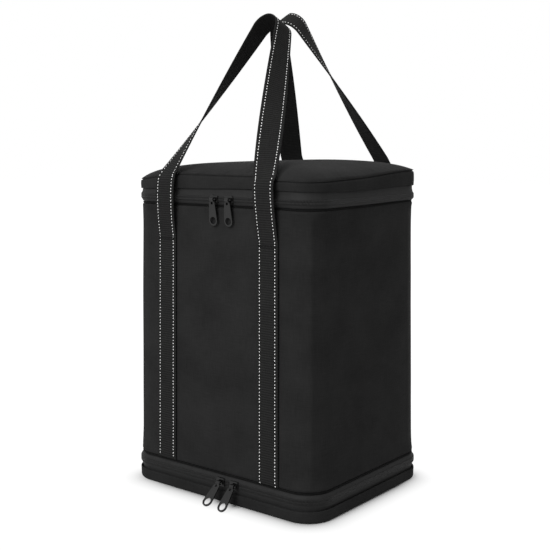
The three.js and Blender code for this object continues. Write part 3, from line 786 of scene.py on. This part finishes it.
liner = {
    **millimetres(thick=0.7, wave=0.7, waveFade=12, floorIn=1.5, floorUp=0.1, footIn=0.4, footUp=0.6,
                  outerFoot=2.5, innerFoot=3, wallTop=4, rowStep=7, columnStep=4, hemTurn=-5),
    "waves": (22, 16), "floorFade": 8,
    "hemIn": [(0, -1.5), (0.8, -0.2), (3, 0.1)],  # mm out from the liner's wall and up from its top
    "hemOut": [(-1.6, -0.2), (-1.0, -1.2)],  # mm out from the sleeve
}


def linerRelief(place, spot, level, share):
    wide, tall = liner["waves"]
    soft = cloud(spot.x * share * wide, spot.y * share * wide, level * tall)
    if share < 1:
        return 0, 0.5 * liner["wave"] * (soft - 1) * smooth((1 - share) * liner["floorFade"])
    return -0.5 * liner["wave"] * (soft + 1) * smooth((wallTop - level) / liner["waveFade"]), 0


def makeLiner():
    thick, low, high = liner["thick"], linerLow.z, wallTop - liner["wallTop"]
    floor = low + liner["floorUp"]
    outer, inner = [steps(low + liner[foot], high, liner["rowStep"]) for foot in ("outerFoot", "innerFoot")]
    rows = panel(linerOut - liner["floorIn"], floor, insideShares)
    rows.append((linerOut - liner["footIn"], low + liner["footUp"], 1))
    rows += [(linerOut, level, 1) for level in outer]
    hem = [(linerOut + out * mm, wallTop + up * mm) for out, up in liner["hemIn"]]
    hem += [(out * mm, wallTop + up * mm) for out, up in liner["hemOut"]]
    rows += [(out, level - thick / 2, 1) for out, level in hem]  # rolled over the top of the foam to the tape
    for out, level in hem[::-1]:
        rows.append((out - (thick if out < liner["hemTurn"] else 0), level + thick / 2, 1))
    rows += [(linerOut - thick, level, 1) for level in inner[::-1]]
    rows += panel(linerOut - liner["floorIn"], floor + thick, insideShares[::-1])
    bucket = wrapPiece("innerLiner", rows, roundColumns(liner["columnStep"]), linerRelief, flatUv=drawnIn)
    finishPiece(bucket, silverFoil, "foil_liner", "body", ["inner_liner"])


lidFill = {
    **millimetres(sideGap=0.5, topGap=0.4, skirtIn=1, skirtLip=0.8, skirtOut=1.8, columnStep=5, wave=0.3),
    "waves": 20, "waveFade": 8,
    "pieces": [("lidFoam", "lid_foam", 4.6 * mm, 0, whiteFoam, "foam"),
               ("lidLiner", "lid_liner", 0.7 * mm, 4.2 * mm, silverFoil, "foil_liner")],
}


def lidFillRelief(place, spot, level, share):
    soft = cloud(spot.x * share * lidFill["waves"], spot.y * share * lidFill["waves"], 5.5)
    wave = lidFill["wave"] * (soft - 1) * smooth((1 - share) * lidFill["waveFade"])
    return 0, lidLift(place, spot, level, share, 0) + wave


def makeLidInside():
    for name, node, thick, hem, material, slot in lidFill["pieces"]:
        low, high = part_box(node)
        out, drop = high.x - sleeveHigh.x - lidFill["sideGap"], crownTop - high.z + lidFill["topGap"]
        inner, lip, outer = [low.z + lidFill[place] for place in ("skirtIn", "skirtLip", "skirtOut")]
        rows = [(out - thick, crownLevel(share) - drop - thick, share) for share in insideShares]
        rows += [(out - thick, inner, 1), (out + hem, low.z, 1), (out + hem, lip, 1), (out, outer, 1)]
        rows += [(out, crownLevel(share) - drop, share) for share in insideShares[::-1]]
        piece = wrapPiece(name, rows, roundColumns(lidFill["columnStep"]), lidFillRelief, flatUv=drawnIn)
        finishPiece(piece, material, slot, "lid", [node])


makeFoam()
floorFoam = makeSlab("floorFoam", "floor_foam", whiteFoam, "foam", slab["foamSide"], 0, slab["foamRound"])
makeSlab("bodyFloor", "body_floor", polyester, "black_polyester", 0, slab["clothGap"], 0)
makeLiner()
makeLidInside()
print("linings made")


# Webbing handles, each one run of webbing from seam to seam
strapLow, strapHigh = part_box("front_strap_right")
strap = {
    **millimetres(thick=2.1, selvedge=1, stitchLine=11.15, groove=0.28, grooveWide=0.75, ribPitch=2.75,
                  ribRise=0.34, ribFade=1.5, start=0.4, endTuck=1.4, endTuckReach=7, startPull=21,
                  startLean=4.5, gripRadius=20, gripMeet=4.4, loopGap=1.4, swingBend=8, foldBend=8),
    "wide": strapHigh.x - strapLow.x, "spacing": strapHigh.x + strapLow.x, "reach": sleeveHigh.y + 1.4 * mm,
    "faceStations": [15, 14.8, 14.4, 13.4, 12.0, 11.15, 10.3, 8, 4, 0],  # mm from the middle
    "backStations": [14.8, 14.4, 12, 6, 0], "ribSteps": 4,
}
handles = {
    "front": {**millimetres(standOff=6.2, bendRise=-1, height=221.5, shoulder=24, endPull=9.5, gripShift=10.5,
                            leftDraw=5, rightDraw=0),
              "facing": -1, "ease": 0.74, "leftTurn": 0, "rightTurn": 0},
    "rear": {**millimetres(standOff=12, bendRise=12.4, height=222, shoulder=50, endPull=24, gripShift=7,
                           leftDraw=5, rightDraw=4),
             "facing": 1, "ease": 1.45, "leftTurn": 0.32, "rightTurn": 0.135},
}
tackLevel = strapHigh.z + 0.15 * mm


def bendOf(handle):  # how far out and how high the webbing bends over the lid edge, and its lean from there
    reach = sleeveHigh.y + rimOut + handle["standOff"]
    travel = reach + handle["facing"] * strap["gripMeet"] - strap["loopGap"] / 2
    half = strap["wide"] / 2
    lean = math.asin(travel / math.hypot(handle["height"], half)) - math.atan2(half, handle["height"])
    return reach, lidSeam + handle["bendRise"], lean


def riserCurve(handle, count):
    reach, level, lean = bendOf(handle)
    start, end = Vector((strap["reach"], tackLevel)), Vector((reach, level))
    first = start + Vector((strap["startLean"], strap["startPull"]))
    second = end - Vector((-math.sin(lean), math.cos(lean))) * handle["endPull"]
    places = []
    for i in range(count + 1):
        t = i / count
        low = start * (1 - t) ** 3 + first * 3 * t * (1 - t) ** 2
        places.append(low + second * 3 * t * t * (1 - t) + end * t ** 3)
    return places


def turned(angle):
    return Vector((math.cos(angle), math.sin(angle)))


# The loop in its own plane, from the right shoulder over the grip to the left one, as arcs and straight legs
def loopLegs(handle):
    radius, gripRadius = handle["shoulder"], strap["gripRadius"]
    grip = handle["height"] - gripRadius
    right, left = (strap["spacing"] / 2 - radius - handle[draw] for draw in ("rightDraw", "leftDraw"))
    turns, straights = [], []
    for run in (right - handle["gripShift"], left + handle["gripShift"]):
        slope = math.hypot(run, grip)
        turns.append(math.atan2(run, grip) + math.asin((radius - gripRadius) / slope))
        straights.append(math.sqrt(slope ** 2 - (radius - gripRadius) ** 2))
    down = math.pi - turns[1]
    gripMiddle = Vector((handle["gripShift"], grip))
    return [
        (Vector((right, 0)), radius, 0, radius * turns[0]),
        (Vector((right, 0)) + radius * turned(turns[0]), 0, turns[0], straights[0]),
        (gripMiddle, gripRadius, turns[0], gripRadius * (down - turns[0])),
        (gripMiddle + gripRadius * turned(down), 0, down, straights[1]),
        (Vector((-left, 0)), radius, down, radius * turns[1]),
    ]


def loopAt(legs, run):
    for middle, radius, angle, length in legs:
        if run <= length + 1e-9:
            break
        run -= length
    if radius:
        angle += run / radius
    heading = Vector((-math.sin(angle), math.cos(angle)))
    return middle + (radius * turned(angle) if radius else run * heading), heading


def loopFrames(handle, step):
    facing = handle["facing"]
    reach, level, lean = bendOf(handle)
    up = Vector((0, -facing * math.sin(lean), math.cos(lean)))
    outward = Vector((0, facing * math.cos(lean), math.sin(lean)))
    base = Vector((0, facing * reach, level))
    legs = loopLegs(handle)
    total = sum(leg[-1] for leg in legs)
    count = round(total / step)
    loop = []
    for i in range(count + 1):
        along = i / count
        spot, heading = loopAt(legs, along * total)
        climb = (1 - abs(2 * along - 1)) ** handle["ease"]
        early = handle["rightTurn"] if along < 0.5 else handle["leftTurn"]
        twist = math.pi / 2 * (early + (1 - early) * climb)
        insideWay = Vector((-heading.y, 0, 0)) + up * heading.x
        across = (insideWay * math.cos(twist) + outward * math.sin(twist)) * -facing
        face = outward * math.cos(twist) - insideWay * math.sin(twist)
        loop.append((base + Vector((spot.x, 0, 0)) + up * spot.y, across, face))
    return loop, base, up


# Frames (middle, across, face) up the right leg, over the loop and down the left leg
def handleFrames(handle):
    facing, step = handle["facing"], strap["ribPitch"] / strap["ribSteps"]
    leg = []
    for height in steps(bodyBottom + strap["start"], tackLevel, step)[:-1]:
        sunk = clamp((bodyBottom + strap["endTuckReach"] - height) / strap["endTuckReach"]) ** 2
        leg.append((strap["reach"] - strap["endTuck"] * sunk, height, Vector((0, 1)), 0))
    curve = riserCurve(handle, round((bendOf(handle)[1] - tackLevel) / step))
    for i, place in enumerate(curve[:-1]):
        ahead, behind = curve[i + 1], curve[max(i - 1, 0)]
        leg.append((place.x, place.y, (ahead - behind).normalized(), smooth(i / (len(curve) - 1))))
    sides = []
    for side, name in ((1, "right"), (-1, "left")):
        draw, early = handle[f"{name}Draw"], handle[f"{name}Turn"]
        sides.append([])
        for out, height, way, drawn in leg:
            flat, plain = Vector((side * facing, 0, 0)), Vector((0, facing * way.y, -way.x))
            turn = math.pi / 2 * early * drawn  # part of the twist is taken before the bend
            across = flat * math.cos(turn) - plain * math.sin(turn) * facing
            face = plain * math.cos(turn) + flat * math.sin(turn) * facing
            middle = Vector((side * (strap["spacing"] / 2 - draw * drawn), facing * out, height))
            sides[-1].append((middle, across, face))
    loop, base, up = loopFrames(handle, step)
    return sides[0] + loop + sides[1][::-1], base, up


def webbingOut(across, grooved):  # height of the webbing's face over its middle, across its width
    edge = strap["wide"] / 2 - abs(across)
    selvedge = (1 - clamp(edge / strap["selvedge"])) ** 2 * strap["thick"] / 2
    groove = strap["groove"] * math.exp(-((abs(across) - strap["stitchLine"]) / strap["grooveWide"]) ** 2)
    return strap["thick"] / 2 - selvedge - (groove if grooved else 0)


def mirrored(stations):
    return [value * mm for value in stations] + [-value * mm for value in stations[-2::-1]]


def makeWebbing(name, frames, lengths):
    half = strap["wide"] / 2
    outer, inner = mirrored(strap["faceStations"]), mirrored(strap["backStations"])[::-1]
    section = [(side, 1) for side in outer] + [(side, -1) for side in inner]
    ring = len(section)
    points = []
    for (middle, across, face), length in zip(frames, lengths):
        rib = strap["ribRise"] * (abs(math.sin(math.pi * length / strap["ribPitch"])) - 1)
        for side, way in section:
            keep = clamp((half - abs(side)) / strap["ribFade"])
            points.append(middle + across * side + face * (way * (webbingOut(side, way > 0) + rib * keep)))
    sides = outer + [-2 * half - inner[0]] + [-2 * half - (value - inner[0]) for value in inner[1:]]
    sides.append(sides[-1] - (outer[0] - inner[-1]))
    corners = []
    for low, high in zip(lengths, lengths[1:]):
        for i in range(ring):
            corners += [(sides[i], low), (sides[i + 1], low), (sides[i + 1], high), (sides[i], high)]
    corners += [(side, lengths[0]) for side in sides[-2::-1]] + [(side, lengths[-1]) for side in sides[:-1]]
    return newPiece(name, points, tubeFaces(0, ring, len(frames)), corners)


# One lock stitch: a short bead of thread that dips into the webbing at both ends
stitch = {
    **millimetres(pitch=3.8, long=1.9, wide=1, sink=0.8, rise=0.12),
    "round": 0.26, "around": 7, "bed": 0.6,  # share of the groove that it lies in
    "lead": 0.35,  # pitches from the sewn end to the first stitch
    "stations": [(-0.5, -1, 0.45), (-0.36, 0, 0.85), (0, 1, 1), (0.36, 0, 0.85), (0.5, -1, 0.45)],
}


def addStitch(points, faces, middle, along, across, face, length, width):
    faces += tubeFaces(len(points), stitch["around"], len(stitch["stations"]), flip=True)
    for run, lift, size in stitch["stations"]:
        height = stitch["rise"] if lift > 0 else stitch["sink"] * lift
        for i in range(stitch["around"]):
            angle = 2 * math.pi * i / stitch["around"]
            over = height + stitch["round"] * width * size * math.sin(angle)
            aside = 0.5 * width * size * math.cos(angle)
            points.append(middle + along * run * length + face * over + across * aside)


def threadPiece(name, points, faces):  # thread needs no map of its own, a box map in metres will do
    spots = [points[v] for face in faces for v in face]
    return newPiece(name, points, faces, [(spot.x + spot.y, spot.z) for spot in spots])


def stitchRows(name, frames, lengths, start, end):
    points, faces = [], []
    firstNumber, lastNumber = [math.ceil(place / stitch["pitch"] - stitch["lead"]) for place in (start, end)]
    height = strap["thick"] / 2 - strap["groove"] * stitch["bed"]
    index = 0
    for number in range(firstNumber, lastNumber):  # counted from the sewn end, so rows run on across the cuts
        place = (number + stitch["lead"]) * stitch["pitch"]
        while index < len(lengths) - 2 and lengths[index + 1] < place:
            index += 1
        middle, across, face = frames[index]
        along = (frames[min(index + 1, len(frames) - 1)][0] - frames[max(index - 1, 0)][0]).normalized()
        for side in (-1, 1):
            spot = middle + across * side * strap["stitchLine"] + face * height
            addStitch(points, faces, spot, along, across, face, stitch["long"], stitch["wide"])
    return threadPiece(name, points, faces)


tack = {**millimetres(rowGap=1.5, pitch=1.25, inset=2.2, drop=6, wide=0.8, long=2), "rows": 3, "lean": 0.5}


def bartack(name, facing, side):
    points, faces = [], []
    half = strap["wide"] / 2 - tack["inset"]
    face = Vector((0, facing, 0))
    for row in range(tack["rows"]):
        for i, x in enumerate(steps(-half, half, tack["pitch"])):
            spot = Vector((side * strap["spacing"] / 2 + x, facing * (strap["reach"] + strap["thick"] / 2),
                           tackLevel - tack["drop"] + row * tack["rowGap"]))
            lean = Vector((tack["lean"] if i % 2 else -tack["lean"], 0, 1)).normalized()
            addStitch(points, faces, spot, lean, face.cross(lean), face, tack["long"], tack["wide"])
    finishPiece(threadPiece(name, points, faces), blackThread, None, "body")


def makeHandle(end, handle):
    frames, base, up = handleFrames(handle)
    lengths = [0.0]
    for before, after in zip(frames, frames[1:]):
        lengths.append(lengths[-1] + (after[0] - before[0]).length)
    lastStitch = lengths[-1] - stitch["lead"] * stitch["pitch"]
    cutLevel = (tackLevel + base.z) / 2
    cut = next(i for i, item in enumerate(frames) if item[0].z > cutLevel)
    count = len(frames)
    pieces = {"Right": (0, cut + 1), "Loop": (cut, count - cut), "Left": (count - cut - 1, count)}
    for label, (first, last) in pieces.items():
        part = makeWebbing(f"{end}Strap{label}", frames[first:last], lengths[first:last])
        thread = stitchRows(f"{end}Stitches{label}", frames, lengths, lengths[first],
                            min(lengths[last - 1], lastStitch))
        side = label.lower()
        stoodFor = [f"{end}_handle"] if label == "Loop" else [f"{end}_strap_{side}", f"{end}_riser_{side}"]
        finishPiece(part, webbing, "webbing", None, stoodFor)
        finishPiece(thread, whiteThread)
        for piece in (part, thread):
            if label == "Loop":
                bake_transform(piece)
            else:
                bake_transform(piece)
    for side, label in ((-1, "Left"), (1, "Right")):
        bartack(f"{end}Bartack{label}", handle["facing"], side)


for handleEnd, handleShape in handles.items():
    makeHandle(handleEnd, handleShape)
print("handles made")


# Hard pieces keep their solids, with their edges eased
hardEdge = {**millimetres(slider=0.22, pull=0.3, divider=0.9, board=0.6), "segments": 3, "angle": 38}


def easeEdges(node, width, material):
    piece = finishPiece(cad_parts[node], material)
    bevel = piece.modifiers.new("eased", "BEVEL")
    bevel.width = width
    bevel.segments = hardEdge["segments"]
    bevel.limit_method = "ANGLE"
    bevel.angle_limit = math.radians(hardEdge["angle"])
    bevel.harden_normals = True
    piece.data.polygons.foreach_set("use_smooth", [True] * len(piece.data.polygons))


for end in ("top", "base"):
    for side in ("left", "right"):
        easeEdges(f"{end}_slider_{side}", hardEdge["slider"], sliderPaint)
        easeEdges(f"{end}_pull_{side}", hardEdge["pull"], pullPaint)
for node in ("divider_long", "divider_cross_left", "divider_cross_right"):
    easeEdges(node, hardEdge["divider"], feltBoard)
easeEdges("base_board", hardEdge["board"], baseSheet)
print("hard pieces finished")


# Floor, world, lamps and camera
stage = {
    "floorHalf": 8.0, "floorDrop": 0.2 * mm, "floorColour": (0.6, 0.6, 0.6, 1),
    "white": 1.08, "ambient": 0.45,
    "shadowFade": 13 * mm, "shadowFar": 0.3, "shadowTurn": (0.62, -0.78), "shadowSpan": (-30 * mm, 45 * mm),
}
lamps = {
    "key": {"place": (0.15, -2.4, 1.6), "size": 1.5, "power": 68},
    "top": {"place": (0.2, 0.1, 2.4), "size": 1.8, "power": 15},
}
lampAim = Vector((0, 0, 0.25))


def cameraSeen(tree):
    path = addNode(tree, "LightPath").outputs
    seen = mathNode(tree, "ADD", path["Is Camera Ray"], path["Is Glossy Ray"])
    return mathNode(tree, "MINIMUM", mathNode(tree, "ADD", seen, path["Is Transmission Ray"]), 1.0)


def makeFloor():
    half, drop = stage["floorHalf"], -stage["floorDrop"]
    corners = [(-half, -half, drop), (half, -half, drop), (half, half, drop), (-half, half, drop)]
    floor = newPiece("floor", corners, [(0, 1, 2, 3)])
    material = bpy.data.materials.new("studioFloor")
    material.use_nodes = True
    tree = material.node_tree
    tree.nodes.clear()
    place = addNode(tree, "SeparateXYZ", {0: addNode(tree, "TexCoord").outputs["Object"]}).outputs
    squares, leans = [], []
    for axis, reach, turn in zip(place, (trayHigh.x, trayHigh.y), stage["shadowTurn"]):
        past = mathNode(tree, "SUBTRACT", mathNode(tree, "ABSOLUTE", axis), reach - bag["corner"])
        gap = mathNode(tree, "MAXIMUM", past, 0.0)
        squares.append(mathNode(tree, "MULTIPLY", gap, gap))
        leans.append(mathNode(tree, "MULTIPLY", axis, turn))
    away = mathNode(tree, "SQRT", mathNode(tree, "ADD", *squares))  # from the rounded foot of the bag
    past = mathNode(tree, "MAXIMUM", mathNode(tree, "SUBTRACT", away, bag["corner"]), 0.0)
    fading = mathNode(tree, "EXPONENT", mathNode(tree, "MULTIPLY", past, -1 / stage["shadowFade"]))
    near = rangeOf(tree, mathNode(tree, "ADD", *leans), stage["shadowFar"], 1.0, stage["shadowSpan"])
    shade = mathNode(tree, "MULTIPLY", fading, near)  # painted light: on the side away from the camera the white glow covers most of the real shadow, so the shadow shows mostly on the camera side
    bright = mathNode(tree, "MULTIPLY", cameraSeen(tree), mathNode(tree, "SUBTRACT", 1.0, shade))
    diffuse = addNode(tree, "BsdfDiffuse", {"Color": stage["floorColour"]})
    glow = addNode(tree, "Emission", {"Strength": stage["white"]})
    mix = addNode(tree, "MixShader", {0: bright, 1: diffuse.outputs[0], 2: glow.outputs[0]})
    addNode(tree, "OutputMaterial", {"Surface": mix.outputs[0]})
    floor.data.materials.append(material)


def makeWorld():
    world = bpy.data.worlds.new("studio")
    world.use_nodes = True
    bpy.context.scene.world = world
    tree = world.node_tree
    level = rangeOf(tree, cameraSeen(tree), stage["ambient"], 1.0)
    fill(tree, tree.nodes["Background"], {"Color": (1, 1, 1, 1), "Strength": level})


def makeLamps():
    for name, setting in lamps.items():
        data = bpy.data.lights.new(name, "AREA")
        data.shape = "SQUARE"
        data.size = setting["size"]
        data.energy = setting["power"]
        lamp = bpy.data.objects.new(name, data)
        lamp.location = setting["place"]
        lamp.rotation_euler = (lampAim - lamp.location).to_track_quat("-Z", "Y").to_euler()
        bpy.context.scene.collection.objects.link(lamp)


# Camera at the photographer's corner, held level so that the upright edges stay parallel, its frame slid down
view = {"place": (0.7895, -0.9971, 0.4232), "yaw": 38.5, "sensor": 36.0, "lens": 65.65, "slide": -0.2447}


def makeCamera():
    data = bpy.data.cameras.new("camera")
    data.sensor_width = view["sensor"]
    data.lens = view["lens"]
    data.shift_y = view["slide"]
    camera = bpy.data.objects.new("camera", data)
    camera.location = view["place"]
    camera.rotation_euler = (math.pi / 2, 0, math.radians(view["yaw"]))
    bpy.context.scene.collection.objects.link(camera)
    bpy.context.scene.camera = camera


makeFloor()
makeWorld()
makeLamps()
makeCamera()
bpy.context.scene.view_settings.view_transform = "Standard"
print("stage set")
